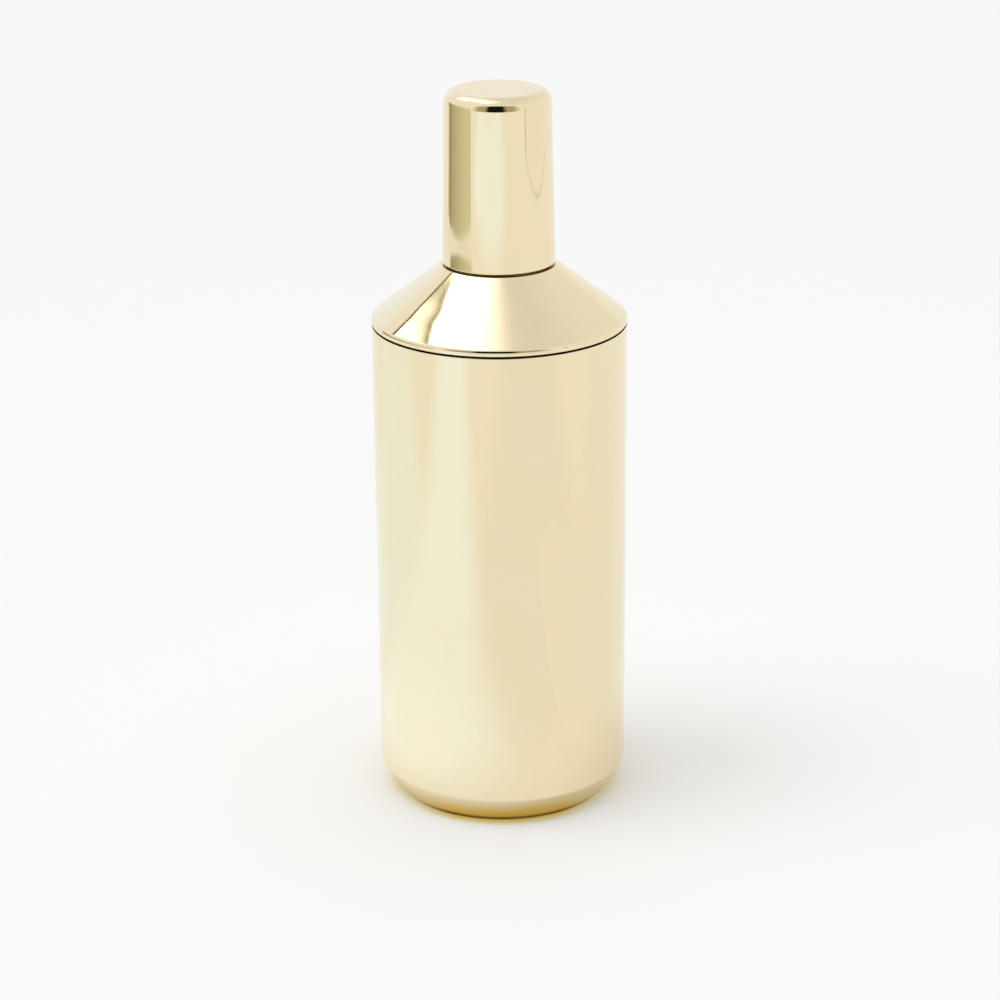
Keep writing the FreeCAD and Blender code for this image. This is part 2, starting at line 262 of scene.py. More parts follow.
# %% [markdown]
# ### Tool rings
# A spinning tool or a lathe leaves rings about the axis. Seen along the outline they are a fine uneven
# ripple, so a noise that reads only the distance from the axis and the height gives them on walls and on
# flat ends alike.

# %% Tool rings group
def make_tool_rings():
    group, given, result = new_group(
        "Tool Rings",
        [
            ("Position", "NodeSocketVector", None),
            ("Rings per Metre", "NodeSocketFloat", 2500.0),
            ("Fineness", "NodeSocketFloat", 3.0),
        ],
        [("Height", "NodeSocketFloat"), ("Mask", "NodeSocketFloat")],
    )
    parts = group.nodes.new("ShaderNodeSeparateXYZ")
    group.links.new(given.outputs["Position"], parts.inputs[0])
    across = math_node(group, "MULTIPLY", parts.outputs[0], parts.outputs[0])
    deep = math_node(group, "MULTIPLY", parts.outputs[1], parts.outputs[1])
    radius = math_node(group, "SQRT", math_node(group, "ADD", across, deep))
    profile = group.nodes.new("ShaderNodeCombineXYZ")
    group.links.new(radius, profile.inputs[0])
    group.links.new(parts.outputs[2], profile.inputs[2])
    rate, detail = given.outputs["Rings per Metre"], given.outputs["Fineness"]
    ripple = noise_node(group, profile.outputs[0], rate, detail, 0.65)
    group.links.new(ripple, result.inputs["Height"])
    group.links.new(spread(group, ripple, 0.35, 0.65), result.inputs["Mask"])
    return group


tool_rings = make_tool_rings()
print("made group", tool_rings.name)

# %% [markdown]
# ### Hairlines
# Wiping leaves very fine scratches in all directions. A wave of stretched noise, laid over itself at
# three angles, is cheaper than drawing scratches one by one and has no visible repeat.

# %% Hairlines group
def make_hairlines():
    group, given, result = new_group(
        "Hairlines",
        [("Position", "NodeSocketVector", None), ("Density", "NodeSocketFloat", 900.0)],
        [("Mask", "NodeSocketFloat")],
    )
    total = None
    for tilt, stretch in ((0.4, 0.05), (1.5, 0.07), (2.6, 0.04)):
        turn = group.nodes.new("ShaderNodeMapping")
        turn.inputs["Rotation"].default_value = (tilt, tilt * 0.7, tilt * 1.3)
        turn.inputs["Scale"].default_value = (1.0, stretch, stretch)
        group.links.new(given.outputs["Position"], turn.inputs["Vector"])
        streak = noise_node(group, turn.outputs[0], given.outputs["Density"], 1.0, 0.4)
        line = spread(group, streak, 0.66, 0.74)
        total = line if total is None else math_node(group, "MAXIMUM", total, line)
    group.links.new(total, result.inputs["Mask"])
    return group


hairlines = make_hairlines()
print("made group", hairlines.name)

# %% [markdown]
# ### Handling haze
# Hands and breath leave soft, cloudy patches where the polish is a touch duller. Two sizes of noise
# multiplied together leave most of the surface clear and cloud only some of it.

# %% Handling haze group
def make_haze():
    group, given, result = new_group(
        "Handling Haze",
        [("Position", "NodeSocketVector", None), ("Patches per Metre", "NodeSocketFloat", 25.0)],
        [("Mask", "NodeSocketFloat")],
    )
    place, rate = given.outputs["Position"], given.outputs["Patches per Metre"]
    broad = spread(group, noise_node(group, place, rate), 0.42, 0.7)
    finer = math_node(group, "MULTIPLY", rate, 7.0)
    speckle = spread(group, noise_node(group, place, finer, 4.0, 0.6), 0.3, 0.75)
    group.links.new(math_node(group, "MULTIPLY", broad, speckle), result.inputs["Mask"])
    return group


haze = make_haze()
print("made group", haze.name)

# %% [markdown]
# ### Edge wear
# Edges are rubbed brighter than flats. Blender's Pointiness says how convex the mesh is at each point,
# and a narrow range of it picks out the rims and the roundings.

# %% Edge wear group
def make_edge_wear():
    group, given, result = new_group(
        "Edge Wear",
        [("Position", "NodeSocketVector", None), ("Start", "NodeSocketFloat", 0.52)],
        [("Mask", "NodeSocketFloat")],
    )
    geometry = group.nodes.new("ShaderNodeNewGeometry")
    convex = math_node(group, "SUBTRACT", geometry.outputs["Pointiness"], given.outputs["Start"])
    edge = spread(group, convex, 0.0, 0.08)
    broken = spread(group, noise_node(group, given.outputs["Position"], 300.0, 3.0, 0.6), 0.35, 0.65)
    group.links.new(math_node(group, "MULTIPLY", edge, broken), result.inputs["Mask"])
    return group


edge_wear = make_edge_wear()
print("made group", edge_wear.name)

# %% [markdown]
# ### Painted gap shade
# Two narrow gaps run around the shaker: one between the tumbler and the lid, and one below the cap. Both
# look dark, and that shade is painted into the metal as a dark, dull colour. The painted shade belongs to
# the metal and stays on it when the lid or the cap is lifted. The group marks what lies between two heights.

# %% Painted gap shade group
GAP_SLACK = 0.02 * MM


def make_painted_gap_shade():
    group, given, result = new_group(
        "Painted Gap Shade",
        [
            ("Position", "NodeSocketVector", None),
            ("Bottom", "NodeSocketFloat", 0.0),
            ("Top", "NodeSocketFloat", 0.001),
        ],
        [("Mask", "NodeSocketFloat")],
    )
    parts = group.nodes.new("ShaderNodeSeparateXYZ")
    group.links.new(given.outputs["Position"], parts.inputs[0])
    above = math_node(group, "SUBTRACT", parts.outputs[2], given.outputs["Bottom"])
    below = math_node(group, "SUBTRACT", given.outputs["Top"], parts.outputs[2])
    inside = math_node(group, "GREATER_THAN", math_node(group, "MINIMUM", above, below), -GAP_SLACK)
    group.links.new(inside, result.inputs["Mask"])
    return group


painted_gap_shade = make_painted_gap_shade()
print("made group", painted_gap_shade.name)

# %% [markdown]
# ## Finishes
# Each finish is one Principled shader. The groups drive its roughness, a trace of its colour and a fine
# bump. What is the same all over, such as full metalness, is set on the shader itself.

# %% Finish helpers
def new_finish(name):
    """A material with its Principled shader and a Position vector in the object's own space."""
    material = bpy.data.materials.new(name)
    material.use_nodes = True
    tree = material.node_tree
    shader = tree.nodes["Principled BSDF"]
    place = tree.nodes.new("ShaderNodeTexCoord").outputs["Object"]
    return material, tree, shader, place


def use_group(tree, group, place, **values):
    """Places a group in a material with its own values."""
    node = tree.nodes.new("ShaderNodeGroup")
    node.node_tree = group
    tree.links.new(place, node.inputs["Position"])
    for label, value in values.items():
        node.inputs[label.replace("_", " ")].default_value = value
    return node.outputs


def blend(tree, mask, low_value, high_value):
    """A number that goes from low_value to high_value as the mask goes from 0 to 1."""
    node = tree.nodes.new("ShaderNodeMapRange")
    node.inputs["To Min"].default_value = low_value
    node.inputs["To Max"].default_value = high_value
    tree.links.new(mask, node.inputs["Value"])
    return node.outputs["Result"]


def tint(tree, mask, first, second):
    """A colour that goes from first to second as the mask does from 0 to 1. Both are colours or sockets."""
    node = tree.nodes.new("ShaderNodeMix")
    node.data_type = "RGBA"
    feed(tree, node.inputs["A"], first)
    feed(tree, node.inputs["B"], second)
    tree.links.new(mask, node.inputs["Factor"])
    return node.outputs["Result"]


def bump(tree, shader, height, strength, distance):
    """Feeds a height to the shader's normal."""
    node = tree.nodes.new("ShaderNodeBump")
    node.inputs["Strength"].default_value = strength
    node.inputs["Distance"].default_value = distance
    tree.links.new(height, node.inputs["Height"])
    tree.links.new(node.outputs["Normal"], shader.inputs["Normal"])


# Painted shade for the gaps: near black in the seam below the lid, brown on the step below the cap.
PAINTED_SEAM_SHADE = (0.030, 0.022, 0.012)
PAINTED_STEP_SHADE = (0.34, 0.22, 0.07)


def paint_gap_shade(tree, place, metal):
    """Paints shade on a metal in the gaps below the lid and the cap. Gives its colour and a mask of both
    gaps.
    """
    seam = use_group(tree, painted_gap_shade, place, Bottom=rim_level, Top=lid_level)["Mask"]
    step = use_group(tree, painted_gap_shade, place, Bottom=land_level + 2 * GAP_SLACK, Top=cap_level)["Mask"]
    colour = tint(tree, step, tint(tree, seam, metal, PAINTED_SEAM_SHADE), PAINTED_STEP_SHADE)
    return colour, math_node(tree, "MAXIMUM", seam, step)


# %% [markdown]
# ### Pale gold mirror
# The shells are polished steel under a thin plating of pale gold. The plating is a hair deeper in some
# patches than in others. Over that come haze, hairlines and faint rings from spinning, which make a long
# reflection waver. The lid's cone is spun by hand over a form, so its rings are stronger than those of
# the two drawn tubes.

# %% Pale gold mirror
GOLD = (0.905, 0.778, 0.522)
GOLD_DEEP = (0.892, 0.755, 0.490)
RIPPLE_DEPTH = 0.25 * MM
DRAWN_RIPPLE = 0.03
SPUN_RIPPLE = 0.5


def make_gold_mirror(name, ripple):
    material, tree, shader, place = new_finish(name)
    shader.inputs["Metallic"].default_value = 1.0
    cloud = use_group(tree, haze, place, Patches_per_Metre=30.0)["Mask"]
    lines = use_group(tree, hairlines, place, Density=1400.0)["Mask"]
    plating = tint(tree, cloud, GOLD, GOLD_DEEP)
    # The plating gets painted shade in both gaps.
    tree.links.new(paint_gap_shade(tree, place, plating)[0], shader.inputs["Base Color"])
    dull = math_node(tree, "MAXIMUM", math_node(tree, "MULTIPLY", lines, 0.6), cloud)
    tree.links.new(blend(tree, dull, 0.035, 0.085), shader.inputs["Roughness"])
    rings = use_group(tree, tool_rings, place, Rings_per_Metre=62.0, Fineness=0.5)["Height"]
    bump(tree, shader, rings, ripple, RIPPLE_DEPTH)
    return material


gold_mirror = make_gold_mirror("pale_gold_mirror", DRAWN_RIPPLE)
spun_gold = make_gold_mirror("pale_gold_spun", SPUN_RIPPLE)

# %% [markdown]
# ### Satin gold under the foot
# The foot plate has the same plating, but it was left as the lathe made it: fine rings that catch the
# light.

# %% Satin gold
SATIN_DEEP = (0.80, 0.69, 0.46)
SATIN_PALE = (0.90, 0.79, 0.56)


def make_satin_gold():
    material, tree, shader, place = new_finish("satin_gold")
    shader.inputs["Metallic"].default_value = 1.0
    rings = use_group(tree, tool_rings, place, Rings_per_Metre=3200.0)
    tree.links.new(tint(tree, rings["Mask"], SATIN_DEEP, SATIN_PALE), shader.inputs["Base Color"])
    tree.links.new(blend(tree, rings["Mask"], 0.38, 0.24), shader.inputs["Roughness"])
    bump(tree, shader, rings["Height"], 0.35, 0.05 * MM)
    return material


satin_gold = make_satin_gold()

# %% [markdown]
# ### Spun steel inside
# The inner cup, the measure and the strainer are bare steel, spun and brushed round. Rings dominate, and
# hairlines cross them. Solid steel would be fully metallic, but the inside of the tumbler then looked
# nearly black, so the metalness was lowered.

# %% Spun steel
SPUN_DEEP = (0.80, 0.80, 0.79)
SPUN_PALE = (0.90, 0.90, 0.89)
SPUN_METALNESS = 0.6


def make_spun_steel():
    material, tree, shader, place = new_finish("spun_steel")
    shader.inputs["Metallic"].default_value = SPUN_METALNESS
    rings = use_group(tree, tool_rings, place, Rings_per_Metre=2600.0)
    lines = use_group(tree, hairlines, place, Density=700.0)["Mask"]
    cloud = use_group(tree, haze, place, Patches_per_Metre=40.0)["Mask"]
    tree.links.new(tint(tree, rings["Mask"], SPUN_DEEP, SPUN_PALE), shader.inputs["Base Color"])
    dull = math_node(tree, "MAXIMUM", math_node(tree, "MAXIMUM", lines, cloud), rings["Mask"])
    tree.links.new(blend(tree, dull, 0.22, 0.36), shader.inputs["Roughness"])
    bump(tree, shader, rings["Height"], 0.3, 0.04 * MM)
    return material


spun_steel = make_spun_steel()

# %% [markdown]
# ### Turned steel
# The collar and the neck are turned from solid steel. A sharp tool leaves closer rings than spinning
# does, and their edges are rubbed bright by the cap and the tumbler sliding over them.

# %% Turned steel
TURNED_DEEP = (0.66, 0.66, 0.65)
TURNED_PALE = (0.75, 0.75, 0.74)


def make_turned_steel():
    material, tree, shader, place = new_finish("turned_steel")
    shader.inputs["Metallic"].default_value = 1.0
    rings = use_group(tree, tool_rings, place, Rings_per_Metre=5200.0)
    worn = use_group(tree, edge_wear, place, Start=0.515)["Mask"]
    steel = tint(tree, rings["Mask"], TURNED_DEEP, TURNED_PALE)
    # The steel gets painted shade in both gaps, and is dull there.
    colour, gaps = paint_gap_shade(tree, place, steel)
    tree.links.new(colour, shader.inputs["Base Color"])
    duller = blend(tree, rings["Mask"], 0.2, 0.3)
    rubbed = math_node(tree, "MULTIPLY", worn, 0.1)
    open_roughness = math_node(tree, "SUBTRACT", duller, rubbed)
    tree.links.new(math_node(tree, "MAXIMUM", open_roughness, gaps), shader.inputs["Roughness"])
    bump(tree, shader, rings["Height"], 0.3, 0.03 * MM)
    return material


turned_steel = make_turned_steel()

# %% [markdown]
# ### Silicone
# The seals are milky silicone. It is soft and matte, a little dusty, and light goes a short way into it.

# %% Silicone
MILKY = (0.80, 0.79, 0.76)
DUSTY = (0.86, 0.855, 0.835)
SILICONE_IOR = 1.41
SOFT_DEPTH = 0.5 * MM


def make_silicone():
    material, tree, shader, place = new_finish("milky_silicone")
    shader.inputs["Subsurface Weight"].default_value = 0.25
    shader.inputs["Subsurface Scale"].default_value = SOFT_DEPTH
    shader.inputs["IOR"].default_value = SILICONE_IOR
    dust = use_group(tree, haze, place, Patches_per_Metre=90.0)["Mask"]
    worn = use_group(tree, edge_wear, place, Start=0.52)["Mask"]
    tree.links.new(tint(tree, dust, MILKY, DUSTY), shader.inputs["Base Color"])
    rubbed = math_node(tree, "MAXIMUM", dust, worn)
    tree.links.new(blend(tree, rubbed, 0.42, 0.58), shader.inputs["Roughness"])
    grain = noise_node(tree, place, 2500.0, 3.0, 0.6)
    bump(tree, shader, grain, 0.15, 0.03 * MM)
    return material


silicone = make_silicone()
finishes = (gold_mirror, spun_gold, satin_gold, spun_steel, turned_steel, silicone)
print("finishes:", [finish.name for finish in finishes])

# %% [markdown]
# ## Tumbler wall
# The outer shell is one drawn sheet: an upright wall that turns in at the foot, slants down to a
# narrower ring and is bent in flat below. It is what the eye meets first, so the two bends at the foot
# are real arcs.

# %% Tumbler wall
SHELL_WALL = 0.8 * MM
FOOT_IN = 6.0 * MM
FOOT_RISE = 9.2 * MM
FOOT_LIP = 4.5 * MM
foot_radius = wall_radius - FOOT_IN
foot_opening = foot_radius - FOOT_LIP
shell_bore = wall_radius - SHELL_WALL
slant = math.hypot(FOOT_IN, FOOT_RISE)
inner_rise = FOOT_RISE + SHELL_WALL * (slant - FOOT_RISE) / FOOT_IN
inner_foot = foot_radius - SHELL_WALL * (slant - FOOT_IN) / FOOT_RISE

piece(
    "tumbler_wall",
    [
        (foot_opening, 0, 0.2 * MM),
        (foot_radius, 0, 0.5 * MM),
        (wall_radius, FOOT_RISE, 1.2 * MM),
        (wall_radius, rim_level, 0.15 * MM),
        (shell_bore, rim_level, 0),
        (shell_bore, inner_rise, 0.4 * MM),
        (inner_foot, SHELL_WALL, 0.3 * MM),
        (foot_opening, SHELL_WALL, 0),
    ],
    body="tumbler",
    replaced="outer_shell",
    material=gold_mirror,
)

# %% [markdown]
# ## Inner cup
# The cup that holds the drink hangs from the rim, where it widens and is welded to the shell. Only its
# inside is ever seen. Its floor is rounded so that a spoon reaches everywhere.

# %% Inner cup
CUP_WALL = 0.6 * MM
GAP = 1.8 * MM
FLARE = 5.0 * MM
LAND = 1.5 * MM
CUP_ROUND = 9.0 * MM
cup_low = low("inner_cup")
cup_radius = shell_bore - GAP
cup_bore = cup_radius - CUP_WALL
flare_rise = FLARE - LAND
flare_shift = CUP_WALL * (math.hypot(GAP, flare_rise) - flare_rise) / GAP

piece(
    "drinking_cup",
    [
        (0, cup_low, 0),
        (cup_radius, cup_low, CUP_ROUND),
        (cup_radius, rim_level - FLARE, 1.5 * MM),
        (shell_bore, rim_level - LAND, 0),
        (shell_bore, rim_level, 0),
        (shell_bore - CUP_WALL, rim_level, 0.2 * MM),
        (shell_bore - CUP_WALL, rim_level - LAND + flare_shift, 1.0 * MM),
        (cup_bore, rim_level - FLARE + flare_shift, 2.0 * MM),
        (cup_bore, cup_low + CUP_WALL, CUP_ROUND - CUP_WALL),
        (0, cup_low + CUP_WALL, 0),
    ],
    body="tumbler",
    replaced="inner_cup",
    material=spun_steel,
)

# %% [markdown]
# ## Foot plate
# A pressed plate closes the foot from inside. Its middle stands up a little, so that the shaker rests on
# its ring and can't rock. A small dimple at the centre is left by the lathe's point.

# %% Foot plate
PLATE = 0.8 * MM
RISE = 0.8 * MM
SEAT = 2.5 * MM
PANEL = foot_opening - 5.0 * MM
DIMPLE = 0.3 * MM
DIMPLE_RADIUS = 0.9 * MM
DIMPLE_FLAT = 0.5 * MM
bend = PLATE * (math.sqrt(2) - 1)
plate_low = low("base_plate")

piece(
    "foot_plate",
    [
        (0, plate_low + RISE + DIMPLE, 0),
        (DIMPLE_FLAT, plate_low + RISE + DIMPLE, 0),
        (DIMPLE_RADIUS, plate_low + RISE, 0.2 * MM),
        (PANEL, plate_low + RISE, 0.6 * MM),
        (PANEL + RISE, plate_low, 0.6 * MM),
        (foot_opening + SEAT, plate_low, 0),
        (foot_opening + SEAT, plate_low + PLATE, 0),
        (PANEL + RISE + bend, plate_low + PLATE, 0),
        (PANEL + bend, plate_low + PLATE + RISE, 0),
        (0, plate_low + PLATE + RISE, 0),
    ],
    body="tumbler",
    replaced="base_plate",
    material=satin_gold,
)

# %% [markdown]
# ## Shoulder
# The lid's cone is spun from one sheet: an upright edge in line with the tumbler, a small rounding, the
# straight cone, and a narrow flat ring that shows around the cap.

# %% Shoulder
LID_WALL = 0.9 * MM
BAND = 1.7 * MM
LIP_ROUND = 1.4 * MM
LAND_EDGE = 0.5 * MM
band_top = lid_level + BAND
land_radius = cap_radius + LAND_EDGE
neck_radius = reach("strainer_cup")
cone_width = wall_radius - land_radius
cone_rise = land_level - band_top
cone_slant = math.hypot(cone_width, cone_rise)
band_bore = wall_radius - LID_WALL

piece(
    "shoulder",
    [
        (wall_radius, lid_level, 0.15 * MM),
        (wall_radius, band_top, LIP_ROUND),
        (land_radius, land_level, 0.4 * MM),
        (neck_radius, land_level, 0),
        (neck_radius, land_level - LID_WALL, 0),
        (land_radius - LID_WALL * (cone_slant - cone_width) / cone_rise, land_level - LID_WALL, 0.5 * MM),
        (band_bore, band_top - LID_WALL * (cone_slant - cone_rise) / cone_width, 0.5 * MM),
        (band_bore, lid_level, 0),
    ],
    body="lid",
    replaced="shoulder_shell",
    material=spun_gold,
)

# %% [markdown]
# ## Collar and its seal
# The collar plugs into the tumbler. Its flange sits on the rim and sets the height of the thin line around
# the shaker, whose dark is painted shade. The seal is a band in the collar's groove with three lips, which
# are drawn as soft humps.

# %% Collar and seal
COLLAR_WALL = 1.8 * MM
COLLAR_PLAY = 0.35 * MM
SEAL_PLAY = 0.05 * MM
GROOVE_DEPTH = 1.0 * MM
collar_low = low("lid_collar")
collar_radius = cup_bore - COLLAR_PLAY
collar_bore = collar_radius - COLLAR_WALL
seal_low = low("collar_seal")
seal_high = high("collar_seal")
seal_reach = reach("collar_seal")
groove_radius = collar_radius - GROOVE_DEPTH
collar_top = high("lid_collar")

piece(
    "lid_plug",
    [
        (collar_bore, collar_low, 0.6 * MM),
        (collar_radius, collar_low, 0.6 * MM),
        (collar_radius, seal_low - SEAL_PLAY, 0.15 * MM),
        (groove_radius, seal_low - SEAL_PLAY, 0),
        (groove_radius, seal_high + SEAL_PLAY, 0),
        (collar_radius, seal_high + SEAL_PLAY, 0.15 * MM),
        (collar_radius, rim_level, 0),
        (band_bore, rim_level, 0),
        (band_bore, collar_top, 0),
        (collar_bore, collar_top, 0.3 * MM),
    ],
    body="lid",
    replaced="lid_collar",
    material=turned_steel,
)

LIPS = 3
LIP_WIDTH = 1.0 * MM
BAND_SUNK = 0.2 * MM
seal_band = collar_radius - BAND_SUNK
lip_spacing = (seal_high - seal_low - LIP_WIDTH) / (LIPS - 1)
seal_outline = [(groove_radius + SEAL_PLAY, seal_low, 0.1 * MM)]
for lip in range(LIPS):
    foot = seal_low + lip * lip_spacing
    seal_outline.append((seal_band, foot, 0.05 * MM))
    seal_outline.append((seal_reach, foot + LIP_WIDTH / 2, 0.12 * MM))
    seal_outline.append((seal_band, foot + LIP_WIDTH, 0.05 * MM))
seal_outline.append((groove_radius + SEAL_PLAY, seal_high, 0.1 * MM))
piece("plug_seal", seal_outline, "collar_seal", "collar_seal", silicone)

# %% [markdown]
# ## Neck and its ring
# The neck carries the cap on a small step and holds it with a silicone ring in a groove. The lip is
# rounded on both sides, so that the drink runs off it without dribbling.

# %% Neck and ring
STEP = 1.4 * MM
neck_low = low("pour_neck")
neck_high = high("pour_neck")
NECK_WALL = 1.8 * MM
neck_bore = neck_radius - NECK_WALL
ring_low, ring_high = (corner.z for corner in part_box("neck_seal"))
ring_reach = reach("neck_seal")
ring_half = (ring_high - ring_low) / 2
ring_middle = (ring_high + ring_low) / 2
ring_groove = ring_reach - 2 * ring_half - SEAL_PLAY

piece(
    "pouring_neck",
    [
        (neck_bore, neck_low, 0),
        (neck_radius, neck_low, 0),
        (neck_radius, land_level, 0),
        (neck_radius + STEP, land_level, 0),
        (neck_radius + STEP, cap_level, 0.1 * MM),
        (neck_radius, cap_level, 0.2 * MM),
        (neck_radius, ring_low - SEAL_PLAY, 0.1 * MM),
        (ring_groove, ring_low - SEAL_PLAY, 0),
        (ring_groove, ring_high + SEAL_PLAY, 0),
        (neck_radius, ring_high + SEAL_PLAY, 0.1 * MM),
        (neck_radius, neck_high, 0.6 * MM),
        (neck_bore, neck_high, 0.6 * MM),
    ],
    body="lid",
    replaced="pour_neck",
    material=turned_steel,
)

ring_centre = ring_reach - ring_half
CORNERS = 24
ring_outline = []
for corner in range(CORNERS):
    angle = 2 * math.pi * corner / CORNERS
    radius = ring_centre + ring_half * math.cos(angle)
    height = ring_middle + ring_half * math.sin(angle)
    ring_outline.append((radius, height, 0))
piece("neck_ring", ring_outline, "neck_seal", "neck_seal", silicone)

# %% [markdown]
# ## Strainer
# The strainer is a small drawn cup full of punched holes. Its solid already has every hole, so it stays,
# with two modifiers over it: a bevel breaks the punched edges, and weighted normals keep the flats flat.

# %% Strainer
EDGE_BREAK = 0.12 * MM
PUNCHED_EDGE = math.radians(40)

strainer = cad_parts["strainer_cup"]
strainer.data.materials.clear()
strainer.data.materials.append(spun_steel)
broken_edges = strainer.modifiers.new("broken_edges", "BEVEL")
broken_edges.width = EDGE_BREAK
broken_edges.segments = 2
broken_edges.limit_method = "ANGLE"
broken_edges.angle_limit = PUNCHED_EDGE
flat_normals = strainer.modifiers.new("flat_normals", "WEIGHTED_NORMAL")
flat_normals.keep_sharp = True
print("strainer keeps its solid,", len(strainer.data.polygons), "faces")

# %% [markdown]
# ## Cap
# The cap is drawn from one sheet. It grows a little narrower towards its flat top, with a generous
# rounding where they meet.

# %% Cap
CAP_WALL = 0.7 * MM
CAP_TAPER = 1.1 * MM
CAP_ROUND = 4.0 * MM
cap_top_radius = cap_radius - CAP_TAPER
cap_bore = cap_radius - CAP_WALL

piece(
    "cap_wall",
    [
        (cap_bore, cap_level, 0),
        (cap_radius, cap_level, 0.3 * MM),
        (cap_top_radius, cap_top, CAP_ROUND),
        (0, cap_top, 0),
        (0, cap_top - CAP_WALL, 0),
        (cap_top_radius - CAP_WALL, cap_top - CAP_WALL, CAP_ROUND - CAP_WALL),
    ],
    body="cap",
    replaced="cap_shell",
    material=gold_mirror,
)

# %% [markdown]
# ## Measure
# Inside the cap sits a straight drawn cup that slides over the neck. Its edge is folded out to meet the
# cap's edge. Turned over, it is the measure, so a rolled groove inside marks half of its 4 cl.

# %% Measure
MEASURE_WALL = 0.6 * MM
MEASURE_PLAY = 0.1 * MM
MEASURE_ROUND = 3.4 * MM
measure_top = high("measure_cup")
measure_radius = cap_top_radius - CAP_WALL - MEASURE_PLAY
measure_bore = measure_radius - MEASURE_WALL
hem_bore = cap_bore - CAP_TAPER * MEASURE_WALL / (cap_top - cap_level - CAP_WALL)
LINE_VOLUME = 20e-6
LINE_DEPTH = 0.2 * MM
LINE_HALF = 0.35 * MM
fill_line = measure_top - MEASURE_WALL - LINE_VOLUME / (math.pi * measure_bore**2)
print(f"fill line {(measure_top - fill_line) / MM:.1f} mm from the measure's closed end")

piece(
    "measure",
    [
        (measure_bore, cap_level, 0.25 * MM),
        (cap_bore, cap_level, 0),
        (hem_bore, cap_level + MEASURE_WALL, 0),
        (measure_radius, cap_level + MEASURE_WALL, 0),
        (measure_radius, measure_top, MEASURE_ROUND),
        (0, measure_top, 0),
        (0, measure_top - MEASURE_WALL, 0),
        (measure_bore, measure_top - MEASURE_WALL, MEASURE_ROUND - MEASURE_WALL),
        (measure_bore, fill_line + LINE_HALF, 0.1 * MM),
        (measure_bore + LINE_DEPTH, fill_line, 0.1 * MM),
        (measure_bore, fill_line - LINE_HALF, 0.1 * MM),
    ],
    body="cap",
    replaced="measure_cup",
    material=spun_steel,
)

# %% [markdown]
# ## Floor and light
# The shaker stands on a white sweep. A plain floor would show where it ends, so the floor's own shading
# fades into the colour of the world behind it, and only the stretch around the shaker takes its shadow.
# Below the slanted gold the paper has a painted warm glow, as of light thrown down by the gold, a painted
# contact shadow where the foot touches it, and painted paler light on both sides. These tones are drawn
# by the floor's own shading, and no lamp or mirror makes them.

# %% Card helpers
def ramp(tree, value, start, end):
    """Goes smoothly from 0 to 1 as the value goes from start to end."""
    node = tree.nodes.new("ShaderNodeMapRange")
    node.interpolation_type = "SMOOTHSTEP"
    node.inputs["From Min"].default_value = start
    node.inputs["From Max"].default_value = end
    tree.links.new(value, node.inputs["Value"])
    return node.outputs["Result"]


def bare_material(name):
    """A material with nothing in it but its output, and the position in the object's own space."""
    material = bpy.data.materials.new(name)
    material.use_nodes = True
    tree = material.node_tree
    tree.nodes.clear()
    surface = tree.nodes.new("ShaderNodeOutputMaterial").inputs["Surface"]
    place = tree.nodes.new("ShaderNodeTexCoord").outputs["Object"]
    parts = tree.nodes.new("ShaderNodeSeparateXYZ")
    tree.links.new(place, parts.inputs[0])
    return material, tree, surface, place, parts.outputs


def mix_shaders(tree, share, first, second, surface):
    """Shows the first shader where the share is 0 and the second where it is 1."""
    mix = tree.nodes.new("ShaderNodeMixShader")
    tree.links.new(share, mix.inputs["Fac"])
    tree.links.new(first.outputs[0], mix.inputs[1])
    tree.links.new(second.outputs[0], mix.inputs[2])
    tree.links.new(mix.outputs[0], surface)


def staged_card(name, points, faces, material):
    """A thin sheet that belongs to the surroundings and not to the shaker."""
    mesh = bpy.data.meshes.new(name)
    mesh.from_pydata(points, [], faces)
    card = bpy.data.objects.new(name, mesh)
    bpy.context.scene.collection.objects.link(card)
    card.data.materials.append(material)
    return card


def flat_card(name, width, depth, material):
    """A flat rectangle in the XY plane, centred on its origin."""
    x, y = width / 2, depth / 2
    return staged_card(name, [(-x, -y, 0), (x, -y, 0), (x, y, 0), (-x, y, 0)], [(0, 1, 2, 3)], material)


# %% Floor
WHITE = (0.94, 0.94, 0.94)
NEAR_WHITE = (0.975, 0.975, 0.975)
PAINTED_GLOW = (0.97, 0.79, 0.24)
CONTACT_SHADOW = (0.30, 0.16, 0.05)
SIDE_LIGHT = (0.97, 0.92, 0.74)
FLOOR_SIZE = 6.0
NEAR_END = 0.10
FADE_START = 0.28
FADE_END = 0.75
CONTACT_REACH = 1.0 * MM
GLOW_REACH = 5.5 * MM
GLOW_SIDE = 17 * MM
PALE_SIDE = 33 * MM


def make_floor_material():
    material, tree, surface, place, parts = bare_material("white_sweep")
    length = tree.nodes.new("ShaderNodeVectorMath")
    length.operation = "LENGTH"
    tree.links.new(place, length.inputs[0])
    distance = length.outputs["Value"]
    paper = tree.nodes.new("ShaderNodeBsdfDiffuse")
    # Painted shade and light below the foot: a contact shadow, a warm glow around it and paler sides.
    contact_end = ramp(tree, distance, foot_radius, foot_radius + CONTACT_REACH)
    glow_end = ramp(tree, distance, foot_radius + CONTACT_REACH, foot_radius + GLOW_REACH)
    white = tint(tree, ramp(tree, distance, NEAR_END, FADE_START), NEAR_WHITE, WHITE)
    sideways = ramp(tree, math_node(tree, "ABSOLUTE", parts[0]), GLOW_SIDE, PALE_SIDE)
    below_foot = tint(tree, sideways, tint(tree, contact_end, CONTACT_SHADOW, PAINTED_GLOW), SIDE_LIGHT)
    tree.links.new(tint(tree, glow_end, below_foot, white), paper.inputs["Color"])
    sweep = tree.nodes.new("ShaderNodeEmission")
    feed(tree, sweep.inputs["Color"], WHITE)
    mix_shaders(tree, ramp(tree, distance, FADE_START, FADE_END), paper, sweep, surface)
    return material


